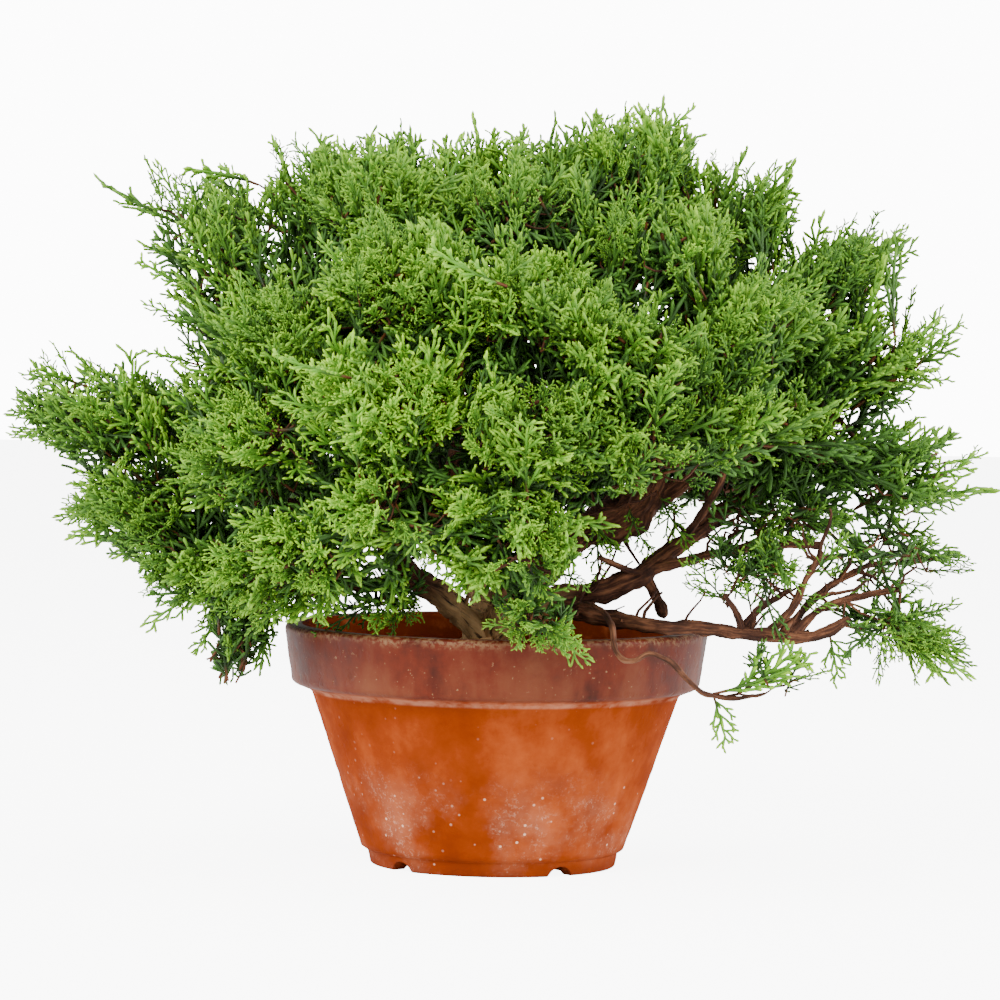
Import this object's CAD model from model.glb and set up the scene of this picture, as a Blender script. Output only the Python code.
import logging
import math
import random
from dataclasses import dataclass, field
from enum import Enum

import bmesh
import bpy
from mathutils import Euler, Matrix, Quaternion, Vector, noise
from mathutils.bvhtree import BVHTree


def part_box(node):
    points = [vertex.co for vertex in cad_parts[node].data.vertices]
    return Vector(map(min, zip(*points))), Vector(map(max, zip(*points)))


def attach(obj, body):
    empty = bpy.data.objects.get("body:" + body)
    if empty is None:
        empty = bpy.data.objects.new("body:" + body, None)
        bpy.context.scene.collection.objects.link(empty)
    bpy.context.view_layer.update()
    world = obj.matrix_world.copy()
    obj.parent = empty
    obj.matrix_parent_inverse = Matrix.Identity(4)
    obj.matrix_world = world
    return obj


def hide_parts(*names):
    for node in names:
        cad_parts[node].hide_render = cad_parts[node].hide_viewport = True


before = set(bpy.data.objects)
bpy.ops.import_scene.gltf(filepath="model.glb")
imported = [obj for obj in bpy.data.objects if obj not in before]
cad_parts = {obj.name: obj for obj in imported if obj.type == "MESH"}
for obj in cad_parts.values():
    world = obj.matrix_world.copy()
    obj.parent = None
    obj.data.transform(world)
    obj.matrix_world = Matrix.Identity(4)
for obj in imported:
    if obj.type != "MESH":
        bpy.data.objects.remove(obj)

MM = 0.001
WOOD_SEED = 3
log = logging.getLogger("bonsai")

Node = bpy.types.Node
Socket = bpy.types.NodeSocket
Value = bpy.types.NodeSocket | float
Colour = tuple[float, float, float, float]
Point = tuple[float, float, float]
Flat = tuple[float, float]
LimbPoint = tuple[float, float, float, float]


# --------------------------------------------------------------------------------------
# Colours and shader nodes
# --------------------------------------------------------------------------------------


def linear(code: str) -> Colour:
    """Turns an sRGB hex colour into the linear RGBA that a shader expects.

    Args:
        code: six hex digits, with or without a leading hash.

    Returns:
        The linear red, green, blue and an alpha of 1.
    """
    code = code.lstrip("#")
    made = []
    for i in (0, 2, 4):
        c = int(code[i : i + 2], 16) / 255
        made.append(c / 12.92 if c <= 0.04045 else ((c + 0.055) / 1.055) ** 2.4)
    return (*made, 1.0)


class Shader:
    """A Principled material that is built up node by node."""

    def __init__(self, name: str) -> None:
        """Starts an empty material.

        Args:
            name: the real material and its surface, in plain words.
        """
        self.material = bpy.data.materials.new(name)
        self.material.use_nodes = True
        self.tree = self.material.node_tree
        self.tree.nodes.clear()
        self.surface = self.add("ShaderNodeBsdfPrincipled")
        self.output = self.add("ShaderNodeOutputMaterial")
        self.join(self.surface.outputs["BSDF"], self.output.inputs["Surface"])

    def add(self, kind: str, settings: dict | None = None, inputs: dict | None = None) -> Node:
        """Adds one node.

        Args:
            kind: the node's type name.
            settings: properties to set on the node.
            inputs: sockets by name or number, each with a value or another node's output.

        Returns:
            The new node.
        """
        node = self.tree.nodes.new(kind)
        for key, value in (settings or {}).items():
            setattr(node, key, value)
        self.put(node, inputs or {})
        return node

    def put(self, node: Node, inputs: dict) -> None:
        """Sets or links the inputs of a node.

        Args:
            node: the node.
            inputs: sockets by name or number, each with a value or another node's output.
        """
        for key, value in inputs.items():
            if isinstance(value, Socket):
                self.join(value, node.inputs[key])
            else:
                node.inputs[key].default_value = value

    def join(self, start: Socket, end: Socket) -> None:
        """Links two sockets.

        Args:
            start: the output.
            end: the input.
        """
        self.tree.links.new(start, end)

    def math(self, operation: str, a: Value, b: Value = 0.0) -> Socket:
        """Adds a Math node.

        Args:
            operation: what it does.
            a: its first value.
            b: its second value.

        Returns:
            The result.
        """
        return self.add("ShaderNodeMath", {"operation": operation}, {0: a, 1: b}).outputs[0]

    def product(self, *values: Value) -> Socket:
        """Multiplies values with one another.

        Args:
            values: two or more of them.

        Returns:
            The product.
        """
        result, *others = values
        for other in others:
            result = self.math("MULTIPLY", result, other)
        return result

    def blend_of(self, *parts: tuple[Value, float]) -> Socket:
        """Adds values up in given shares.

        Args:
            parts: each value with its share.

        Returns:
            The sum.
        """
        result = self.product(*parts[0])
        for part in parts[1:]:
            result = self.math("ADD", result, self.product(*part))
        return result

    def ramp(self, value: Socket, stops: list[tuple[float, str]]) -> Socket:
        """Turns a value into a colour.

        Args:
            value: the value, from 0 to 1.
            stops: places on that way, each with its sRGB hex colour.

        Returns:
            The colour.
        """
        node = self.add("ShaderNodeValToRGB", None, {"Fac": value})
        bar = node.color_ramp
        while len(bar.elements) < len(stops):
            bar.elements.new(0.5)
        for element, (place, code) in zip(bar.elements, stops):
            element.position = place
            element.color = linear(code)
        return node.outputs["Color"]

    def mix(self, factor: Value, a: Socket, b: Socket | str) -> Socket:
        """Mixes two colours.

        Args:
            factor: how much of the second colour there is.
            a: the first colour.
            b: the second one, as a socket or an sRGB hex colour.

        Returns:
            The mixed colour.
        """
        second = linear(b) if isinstance(b, str) else b
        return self.add(
            "ShaderNodeMix", {"data_type": "RGBA"}, {0: factor, 6: a, 7: second}
        ).outputs[2]

    def noise(self, place: Socket, scale: float, detail: float, rough: float) -> Socket:
        """Adds a noise texture.

        Args:
            place: where it is read.
            scale: how many features fit in a metre.
            detail: how many finer layers it has.
            rough: how strong those are.

        Returns:
            The noise, which averages about a half.
        """
        inputs = {"Vector": place, "Scale": scale, "Detail": detail, "Roughness": rough}
        return self.add("ShaderNodeTexNoise", None, inputs).outputs["Fac"]

    def band(self, value: Value, low: float, high: float) -> Socket:
        """Makes a soft step.

        Args:
            value: what is tested.
            low: where the step is 0.
            high: where it is 1, which may lie below the other limit.

        Returns:
            The step.
        """
        inputs = {"Value": value, "From Min": low, "From Max": high}
        settings = {"interpolation_type": "SMOOTHSTEP"}
        return self.add("ShaderNodeMapRange", settings, inputs).outputs["Result"]

    def bump(
        self, height: Socket, strength: float, distance: float, onto: Socket | None = None
    ) -> Socket:
        """Adds relief.

        Args:
            height: the relief's height, from 0 to 1.
            strength: how strong it looks.
            distance: how high it is, in metres.
            onto: a normal that it is laid over.

        Returns:
            The normal.
        """
        inputs = {"Height": height, "Strength": strength, "Distance": distance}
        if onto is not None:
            inputs["Normal"] = onto
        return self.add("ShaderNodeBump", None, inputs).outputs["Normal"]

    def object_place(self) -> Socket:
        """Reads the object coordinates.

        Returns:
            The coordinates, in metres.
        """
        return self.add("ShaderNodeTexCoord").outputs["Object"]

    def stretched(self, place: Socket, scale: Point) -> Socket:
        """Scales coordinates.

        Args:
            place: the coordinates.
            scale: the factor of each axis.

        Returns:
            The scaled coordinates.
        """
        inputs = {"Vector": place, "Scale": scale}
        return self.add("ShaderNodeMapping", None, inputs).outputs["Vector"]

    def axes(self, place: Socket) -> dict[str, Socket]:
        """Splits a vector.

        Args:
            place: the vector.

        Returns:
            Its X, Y and Z.
        """
        return self.add("ShaderNodeSeparateXYZ", None, {"Vector": place}).outputs

    def off_axis(self, place: Socket) -> Socket:
        """Measures how far a place is from the upright axis.

        Args:
            place: the place.

        Returns:
            The distance in metres.
        """
        flat = self.stretched(place, (1, 1, 0))
        return self.add(
            "ShaderNodeVectorMath", {"operation": "LENGTH"}, {0: flat}
        ).outputs["Value"]

    def finish(
        self, colour: Socket | Colour, rough: Value, shine: Value, normal: Socket | None = None
    ) -> bpy.types.Material:
        """Gives the surface its looks.

        Args:
            colour: the base colour.
            rough: the roughness.
            shine: the specular level.
            normal: the relief.

        Returns:
            The material.
        """
        looks = {"Base Color": colour, "Roughness": rough, "Specular IOR Level": shine}
        if normal is not None:
            looks["Normal"] = normal
        self.put(self.surface, looks)
        return self.material


# --------------------------------------------------------------------------------------
# Finishes
# --------------------------------------------------------------------------------------


@dataclass(frozen=True)
class TerracottaFinish:
    """Fired clay with an iron-brown slip over the rim band and lime bloom near the foot."""

    clay_deep: str = "#6E2505"
    clay: str = "#843208"
    clay_pale: str = "#A84E20"
    lime: str = "#DDB094"
    slip_deep: str = "#2E0E05"
    slip: str = "#5C1D08"
    slip_bloom: str = "#6E3A22"
    crust: str = "#A88C66"
    inside_deep: str = "#7A2D14"
    inside: str = "#84340C"
    inside_pale: str = "#C26A40"
    band_foot: float = 89 * MM

    def make(self) -> bpy.types.Material:
        """Builds the material.

        Returns:
            Unglazed terracotta that feels dry and chalky, under a dull satin slip.
        """
        s = Shader("unglazed terracotta, dry and chalky, with a satin iron slip on its band")
        place = s.object_place()
        height = s.axes(place)["Z"]
        broad = s.noise(place, 14, 4, 0.55)
        cloud = s.noise(place, 60, 6, 0.62)
        fine = s.noise(place, 520, 4, 0.6)
        wiped = s.noise(s.stretched(place, (38, 38, 9)), 1, 6, 0.6)
        wavy = s.math("ADD", height, s.product(broad, 0.0012))
        on_band = s.band(wavy, self.band_foot - 0.0006, self.band_foot + 0.0012)
        within = self.within(s, s.off_axis(place), height)
        colour = s.mix(
            on_band,
            self.body(s, place, broad, cloud, fine, wiped),
            self.slipped(s, place, cloud, fine, wiped),
        )
        # A pale line of dried minerals under the band and on its lower edge.
        line = s.product(
            s.band(height, self.band_foot - 0.0044, self.band_foot - 0.0030),
            s.band(height, self.band_foot + 0.0006, self.band_foot - 0.0016),
            s.band(cloud, 0.34, 0.62),
            0.28,
        )
        colour = s.mix(line, colour, self.lime)
        wall = s.ramp(
            cloud, [(0.35, self.inside_deep), (0.55, self.inside), (0.8, self.inside_pale)]
        )
        colour = s.mix(within, colour, wall)

        # The clay is dull. The slip has a soft sheen.
        dull = s.math("ADD", 0.74, s.product(fine, 0.2))
        satin = s.math("ADD", 0.30, s.product(cloud, 0.34))
        mask = s.product(on_band, s.math("SUBTRACT", 1.0, within))
        rough = s.add("ShaderNodeMix", {"data_type": "FLOAT"}, {0: mask, 2: dull, 3: satin})
        shine = s.math("ADD", 0.05, s.product(mask, 0.12))
        pits = s.band(s.noise(place, 150, 3, 0.5), 0.30, 0.42)
        pitted = s.bump(pits, 0.25, 0.0006)
        return s.finish(colour, rough.outputs[0], shine, s.bump(fine, 0.30, 0.0004, pitted))

    def within(self, s: Shader, radius: Socket, height: Socket) -> Socket:
        """Tells the inside of the wall from its outside.

        Args:
            s: the material's nodes.
            radius: the distance from the axis.
            height: the height.

        Returns:
            1 inside the middle of the wall and 0 outside it.
        """
        # The middle climbs with the body and stands upright in the band.
        body_line = s.math("ADD", 0.0580, s.product(height, 0.34))
        band_line = s.math("ADD", 0.0295, s.product(height, 0.68))
        middle = s.math("MINIMUM", 0.0975, s.math("MAXIMUM", body_line, band_line))
        return s.band(s.math("SUBTRACT", radius, middle), 0.0, -0.0014)

    def body(
        self, s: Shader, place: Socket, broad: Socket, cloud: Socket, fine: Socket, wiped: Socket
    ) -> Socket:
        """The bare clay: mottled orange, with lime low down and a damp foot.

        Args:
            s: the material's nodes.
            place: the object coordinates.
            broad: noise of about 70 mm.
            cloud: noise of about 17 mm.
            fine: noise of about 2 mm.
            wiped: noise that is drawn out upwards, like the marks of a wet sponge.

        Returns:
            Its colour.
        """
        axes = s.axes(place)
        height = axes["Z"]
        mottle = s.blend_of((broad, 0.4), (wiped, 0.2), (cloud, 0.4))
        clay = s.ramp(mottle, [(0.34, self.clay_deep), (0.50, self.clay), (0.68, self.clay_pale)])
        # Lime that was left where damp clay dried: a soft haze with fine veins and specks.
        low = s.band(height, 0.062, 0.020)
        cluster = s.blend_of((s.noise(place, 17, 5, 0.6), 1.0), (axes["X"], -0.9))
        patch = s.product(low, s.band(cluster, 0.46, 0.66))
        vein = s.math("ABSOLUTE", s.math("SUBTRACT", s.noise(place, 52, 7, 0.72), 0.5))
        veins = s.product(s.band(vein, 0.022, 0.002), s.band(fine, 0.40, 0.60))
        crackle = s.product(s.band(s.noise(place, 420, 6, 0.8), 0.54, 0.60), 0.5)
        lime = s.product(patch, s.math("MAXIMUM", veins, crackle))
        lime = s.product(s.math("MAXIMUM", lime, s.product(patch, 0.22)), 0.62)
        dots = s.add("ShaderNodeTexVoronoi", None, {"Vector": place, "Scale": 250.0})
        chosen = s.band(s.axes(dots.outputs["Color"])["X"], 0.80, 0.82)
        spread = s.math("ADD", 0.12, s.product(low, s.band(broad, 0.36, 0.54)))
        flecks = s.product(s.band(dots.outputs["Distance"], 0.22, 0.12), chosen, spread, 0.9)
        body = s.mix(s.math("MAXIMUM", lime, flecks), clay, self.lime)
        # The foot ring and the bottom of the body are stained by damp.
        damp = s.product(s.band(height, 0.011, 0.0), s.band(cloud, 0.30, 0.58), 0.7)
        return s.mix(damp, body, self.slip)

    def slipped(
        self, s: Shader, place: Socket, cloud: Socket, fine: Socket, wiped: Socket
    ) -> Socket:
        """The iron slip on the band, with its bloom, its specks and the crust on the rim's edge.

        Args:
            s: the material's nodes.
            place: the object coordinates.
            cloud: noise of about 17 mm.
            fine: noise of about 2 mm.
            wiped: noise that is drawn out upwards.

        Returns:
            Its colour.
        """
        height = s.axes(place)["Z"]
        slip = s.ramp(
            s.blend_of((cloud, 0.55), (wiped, 0.45)),
            [(0.32, self.slip_deep), (0.50, self.slip), (0.70, self.slip_bloom)],
        )
        # Greyish bloom gathers in the lower half of the band.
        greyed = s.product(s.band(height, 0.112, 0.092), s.band(wiped, 0.36, 0.62), 0.55)
        slip = s.mix(greyed, slip, self.slip_bloom)
        edge = s.band(s.blend_of((height, 1.0), (cloud, 0.012)), 0.1195, 0.1252)
        chalky = s.product(edge, s.band(fine, 0.42, 0.60), 0.42)
        slip = s.mix(chalky, slip, self.crust)
        worn = s.product(s.band(s.noise(place, 480, 3, 0.6), 0.66, 0.72), 0.4)
        return s.mix(worn, slip, self.crust)


@dataclass(frozen=True)
class SoilFinish:
    """Moist bonsai soil: dark loam with clay granules of several browns."""

    dark: str = "#2B1D14"
    middle: str = "#4E3624"
    light: str = "#80603F"

    def make(self) -> bpy.types.Material:
        """Builds the material.

        Returns:
            A crumbly, damp brown without any shine.
        """
        s = Shader("damp granular soil, crumbly and dull")
        place = s.object_place()
        grain = s.noise(place, 260, 3, 0.5)
        colour = s.ramp(grain, [(0.36, self.dark), (0.52, self.middle), (0.68, self.light)])
        relief = s.bump(s.noise(place, 1500, 3, 0.6), 0.5, 0.0004)
        return s.finish(colour, 0.92, 0.25, relief)


@dataclass(frozen=True)
class BarkFinish:
    """Stringy juniper bark: brown strips, red underneath, greyed where it is old."""

    red: str = "#241008"
    brown: str = "#452718"
    tan: str = "#784C32"
    grey: str = "#705846"
    root: str = "#CFA673"
    grain: str = "grain"

    def make(self) -> bpy.types.Material:
        """Builds the material. It reads the wood's own grain attribute.

        Returns:
            Fibrous bark that looks dry, rough and slightly papery.
        """
        s = Shader("stringy juniper bark, dry and papery")
        grain = s.add("ShaderNodeAttribute", {"attribute_name": self.grain}).outputs["Vector"]
        place = s.object_place()
        strips = s.noise(s.stretched(grain, (620, 620, 60)), 1, 5, 0.65)
        patches = s.noise(place, 70, 4, 0.6)
        colour = s.ramp(
            s.blend_of((strips, 0.62), (patches, 0.38)),
            [(0.38, self.red), (0.49, self.brown), (0.60, self.tan), (0.72, self.grey)],
        )
        # The old root flare is paler than the branches.
        old = s.product(
            s.band(s.axes(place)["Z"], 0.148, 0.124),
            s.band(strips, 0.32, 0.48),
            s.band(s.off_axis(place), 0.054, 0.032),
            0.85,
        )
        return s.finish(s.mix(old, colour, self.root), 0.85, 0.25, s.bump(strips, 0.9, 0.0012))


@dataclass(frozen=True)
class FoliageFinish:
    """Scale leaves, dark and woody at a shoot's base and fresh at its tip.

    The map's first coordinate runs from a shoot's base to its tip, the second from a spray in
    the shade of the tree to one in full light.
    """

    twig: str = "#5A321A"
    shade: tuple[str, str, str] = ("#1A2A10", "#34561E", "#568828")
    sun: tuple[str, str, str] = ("#34541A", "#66A02A", "#B2E234")
    map_name: str = "OFBake"

    def make(self) -> bpy.types.Material:
        """Builds the material.

        Returns:
            Leathery green scales with a faint waxy sheen.
        """
        s = Shader("juniper scale leaves, leathery with a faint waxy sheen")
        spot = s.axes(s.add("ShaderNodeUVMap", {"uv_map": self.map_name}).outputs["UV"])
        shaded, sunlit = (
            s.ramp(spot["X"], [(0.06, self.twig), (0.20, base), (0.66, middle), (0.96, tip)])
            for base, middle, tip in (self.shade, self.sun)
        )
        return s.finish(s.mix(spot["Y"], shaded, sunlit), 0.52, 0.22)


# --------------------------------------------------------------------------------------
# Mesh helpers
# --------------------------------------------------------------------------------------


@dataclass
class Shape:
    """Points and faces of a mesh that is being collected, with values that mark each point."""

    points: list[Point] = field(default_factory=list)
    faces: list[tuple[int, ...]] = field(default_factory=list)
    marks: list[tuple[float, ...]] = field(default_factory=list)

    def add(self, place: Vector | Point, *mark: float) -> int:
        """Adds a point.

        Args:
            place: where it is.
            mark: the values that mark it.

        Returns:
            Its number.
        """
        self.points.append(tuple(place))
        self.marks.append(mark)
        return len(self.points) - 1

    def to_mesh(self, name: str, attribute: str | None = None) -> bpy.types.Mesh:
        """Makes a smooth Blender mesh of what was collected.

        Args:
            name: the mesh's name.
            attribute: the name under which the marks are stored, if they are.

        Returns:
            The mesh.
        """
        mesh = bpy.data.meshes.new(name)
        mesh.from_pydata(self.points, [], self.faces)
        mesh.shade_smooth()
        if attribute:
            single = len(self.marks[0]) == 1
            kind, key = ("FLOAT", "value") if single else ("FLOAT_VECTOR", "vector")
            store = mesh.attributes.new(attribute, kind, "POINT").data
            store.foreach_set(key, [value for mark in self.marks for value in mark])
        return mesh


def made_of(shape: bmesh.types.BMesh, name: str) -> bpy.types.Mesh:
    """Turns an editable mesh into a plain one and frees it.

    Args:
        shape: the editable mesh.
        name: the plain mesh's name.

    Returns:
        The plain mesh.
    """
    mesh = bpy.data.meshes.new(name)
    shape.to_mesh(mesh)
    shape.free()
    return mesh


def place_object(name: str, data: bpy.types.ID) -> bpy.types.Object:
    """Links a new object, at the origin and unturned, to the scene.

    Args:
        name: its name.
        data: its mesh, light or camera.

    Returns:
        The object.
    """
    made = bpy.data.objects.new(name, data)
    bpy.context.scene.collection.objects.link(made)
    return made


def applied(carrier: bpy.types.Object) -> bpy.types.Mesh:
    """Works out what an object's modifiers make of it.

    Args:
        carrier: the object.

    Returns:
        A plain mesh.
    """
    seen = carrier.evaluated_get(bpy.context.evaluated_depsgraph_get())
    return bpy.data.meshes.new_from_object(seen)


def hand_over(piece: bpy.types.Object, node: str) -> bpy.types.Object:
    """Declares a finished piece.

    Args:
        piece: the piece, which rides on the root.
        node: the CAD node that it stands for.

    Returns:
        The same piece.
    """
    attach(piece, "root")
    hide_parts(node)
    log.info("%s: %d triangles", piece.name, sum(len(p.vertices) - 2 for p in piece.data.polygons))
    return piece


def corners(node: str) -> tuple[Vector, Vector]:
    """Reads the box of a CAD node.

    Args:
        node: its name.

    Returns:
        The box's lowest and highest corner, in metres.
    """
    low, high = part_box(node)
    return Vector(low), Vector(high)


def strewn(pick: random.Random, spread: float) -> Vector:
    """Draws a vector in no preferred direction.

    Args:
        pick: the source of chance.
        spread: the spread of each coordinate.

    Returns:
        The vector.
    """
    return Vector([pick.gauss(0, spread) for _ in range(3)])


def polar(radius: float, angle: float, height: float) -> Point:
    """Turns cylinder coordinates into a point.

    Args:
        radius: the distance from the upright axis.
        angle: the angle round it, in radians.
        height: the height.

    Returns:
        The point.
    """
    return radius * math.cos(angle), radius * math.sin(angle), height


def along_spline(points: list[Vector], step: float) -> list[tuple[Vector, float]]:
    """Walks a smooth curve through points.

    Args:
        points: the points that it passes through.
        step: roughly how far apart the returned points are.

    Returns:
        Each point with its place as a whole and part number of the given points.
    """
    made = []
    last = len(points) - 1
    for i in range(last):
        a, b = points[max(i - 1, 0)], points[i]
        c, d = points[i + 1], points[min(i + 2, last)]
        steps = max(1, round((c - b).length / step))
        for k in range(steps):
            t = k / steps
            spot = 0.5 * (
                2 * b
                + (c - a) * t
                + (2 * a - 5 * b + 4 * c - d) * t * t
                + (3 * b - a - 3 * c + d) * t**3
            )
            made.append((spot, i + t))
    made.append((points[-1].copy(), float(last)))
    return made


def frames_along(spots: list[Vector]) -> list[tuple[Vector, Vector, Vector]]:
    """Makes frames that follow a path without twisting.

    Args:
        spots: the path.

    Returns:
        Each point's direction and two sides.
    """
    made = []
    side = None
    for i in range(len(spots)):
        way = (spots[min(i + 1, len(spots) - 1)] - spots[max(i - 1, 0)]).normalized()
        if side is None:
            side = way.orthogonal().normalized()
        else:
            side = (side - way * side.dot(way)).normalized()
        made.append((way, side, way.cross(side)))
    return made


# --------------------------------------------------------------------------------------
# The pot
# --------------------------------------------------------------------------------------


@dataclass
class Pot:
    """The turned pot: its sizes are those of the CAD pot, its surface is hand-made."""

    height: float = 119 * MM
    rim_radius: float = 105 * MM
    rim_draft: float = 3 * MM
    rim_round: float = 2.6 * MM
    rim_width: float = 10 * MM
    band_height: float = 30 * MM
    band_round: float = 4 * MM
    band_step: float = 3.2 * MM
    body_top: float = 91.5 * MM
    body_foot: float = 65 * MM
    foot_height: float = 7.6 * MM
    foot_radius: float = 62.4 * MM
    foot_width: float = 9 * MM
    foot_lift: float = 1.6 * MM
    floor: float = 10.6 * MM
    wall: float = 8 * MM
    drain: float = 11 * MM
    notch_width: float = 14 * MM
    notch_height: float = 5 * MM
    notch_angles: tuple[float, ...] = (-137, -57, 43, 123)
    segments: int = 132
    step: float = 2.6 * MM
    waves: float = 0.45 * MM
    rings: float = 0.16 * MM
    dents: float = 1.6 * MM
    sharp_edge: float = 42

    def profile(self) -> list[Flat]:
        """Draws the outline, round the outside, the foot and the inside.

        Returns:
            Its points as (radius, height).
        """
        top, foot = self.height, self.height - self.band_height
        low = self.rim_radius - self.rim_draft
        lip = self.rim_radius - self.rim_width
        step = foot - self.band_step
        corner = 6 * MM
        inner_low = self.body_foot + 1.2 * MM - self.wall
        lip_middle = (self.rim_radius - self.rim_round, top - self.rim_round)
        outline = self.round(lip_middle, self.rim_round, 90, 0)
        band_middle = (low - self.band_round, foot + self.band_round)
        outline += self.round(band_middle, self.band_round, 0, -80)
        outline += [(self.body_top + 1.4 * MM, step + 0.9 * MM), (self.body_top, step - 0.6 * MM)]
        outline += [(self.body_foot + 0.6 * MM, self.foot_height + 1.4 * MM)]
        outline += [(self.body_foot - 0.9 * MM, self.foot_height + 0.3 * MM)]
        outline += [(self.foot_radius, self.foot_height - 0.6 * MM)]
        outline += self.round((self.foot_radius - 2.6 * MM, 1.4 * MM), 1.4 * MM, 0, -90)
        outline += [(self.foot_radius - self.foot_width, 0)]
        outline += [(self.foot_radius - self.foot_width - 1.5 * MM, self.foot_lift)]
        outline += [(self.drain, self.foot_lift), (self.drain, self.floor)]
        outline += self.round((inner_low - corner, self.floor + corner), corner, -90, -8)
        outline += [(self.body_top - self.wall, step), (lip, step + 0.45 * self.band_height)]
        outline += self.round((lip + self.rim_round, top - self.rim_round), self.rim_round, 180, 90)
        return outline

    @staticmethod
    def round(centre: Flat, radius: float, start: float, end: float) -> list[Flat]:
        """Draws an arc.

        Args:
            centre: its middle.
            radius: its radius.
            start: the angle where it starts, in degrees.
            end: the angle where it ends.

        Returns:
            Its points as (radius, height).
        """
        steps = 6
        made = []
        for i in range(steps + 1):
            angle = math.radians(start + (end - start) * i / steps)
            across, up = radius * math.cos(angle), radius * math.sin(angle)
            made.append((centre[0] + across, centre[1] + up))
        return made

    def fine_profile(self) -> list[Flat]:
        """Splits up the long stretches of the outline.

        Returns:
            The outline's points as (radius, height).
        """
        outline = self.profile()
        made = []
        for i, (r, z) in enumerate(outline):
            r2, z2 = outline[(i + 1) % len(outline)]
            parts = max(1, round(math.hypot(r2 - r, z2 - z) / self.step))
            made += [(r + (r2 - r) * k / parts, z + (z2 - z) * k / parts) for k in range(parts)]
        return made

    def unevenness(self, r: float, z: float, angle: float) -> float:
        """Tells how far hand-thrown clay stands proud of a perfect turning.

        Args:
            r: the place's radius.
            z: its height.
            angle: its angle round the pot.

        Returns:
            The distance in metres, which is negative in a dent.
        """
        spot = Vector((math.cos(angle), math.sin(angle), 0)) * r
        spot.z = z
        waves = noise.noise(spot * 22) * self.waves
        rings = noise.noise(Vector(polar(0.7, angle, z * 260))) * self.rings
        dents = max(0.0, noise.noise(spot * 85 + Vector((7, 3, 1))) - 0.42) * self.dents
        return waves + rings - dents

    def build(self, finish: bpy.types.Material) -> bpy.types.Object:
        """Builds the pot's piece.

        Args:
            finish: the terracotta material.

        Returns:
            The finished piece.
        """
        outline = self.fine_profile()
        count = len(outline)
        shape = Shape()
        for k in range(self.segments):
            angle = math.tau * k / self.segments
            for r, z in outline:
                out = self.unevenness(r, z, angle) if z > self.foot_height * 0.7 else 0.0
                shape.add(polar(r + out, angle, z))
        for k in range(self.segments):
            for i in range(count):
                a, b = k * count + i, k * count + (i + 1) % count
                c, d = (b + count) % len(shape.points), (a + count) % len(shape.points)
                shape.faces.append((a, b, c, d))
        pot = place_object("terracotta_pot", shape.to_mesh("pot_surface"))
        for angle in self.notch_angles:
            self.cut_notch(pot, angle)
        pot.data.materials.clear()
        pot.data.materials.append(finish)
        pot.data.shade_smooth()
        pot.data.set_sharp_from_angle(angle=math.radians(self.sharp_edge))
        return hand_over(pot, "pot")

    def cut_notch(self, pot: bpy.types.Object, angle: float) -> None:
        """Cuts one arched drain notch through the foot ring.

        Args:
            pot: the pot.
            angle: where the notch is, in degrees.
        """
        reach = (self.notch_width**2 / 4 + self.notch_height**2) / (2 * self.notch_height)
        shape = bmesh.new()
        bmesh.ops.create_cone(
            shape, cap_ends=True, segments=40,
            radius1=reach, radius2=reach, depth=self.foot_width * 3,
        )
        turn = Matrix.Rotation(math.radians(angle), 4, "Z")
        lie = Matrix.Rotation(math.radians(90), 4, "Y")
        away = Matrix.Translation(
            (self.foot_radius - self.foot_width / 2, 0, self.notch_height - reach)
        )
        bmesh.ops.transform(shape, matrix=turn @ away @ lie, verts=shape.verts)
        cutter = place_object("notch", made_of(shape, "notch"))
        change = pot.modifiers.new("Notch", "BOOLEAN")
        change.operation = "DIFFERENCE"
        change.solver = "EXACT"
        change.object = cutter
        made = applied(pot)
        pot.modifiers.clear()
        pot.data = made
        bpy.data.objects.remove(cutter)


# --------------------------------------------------------------------------------------
# Geometry Nodes
# --------------------------------------------------------------------------------------


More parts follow.
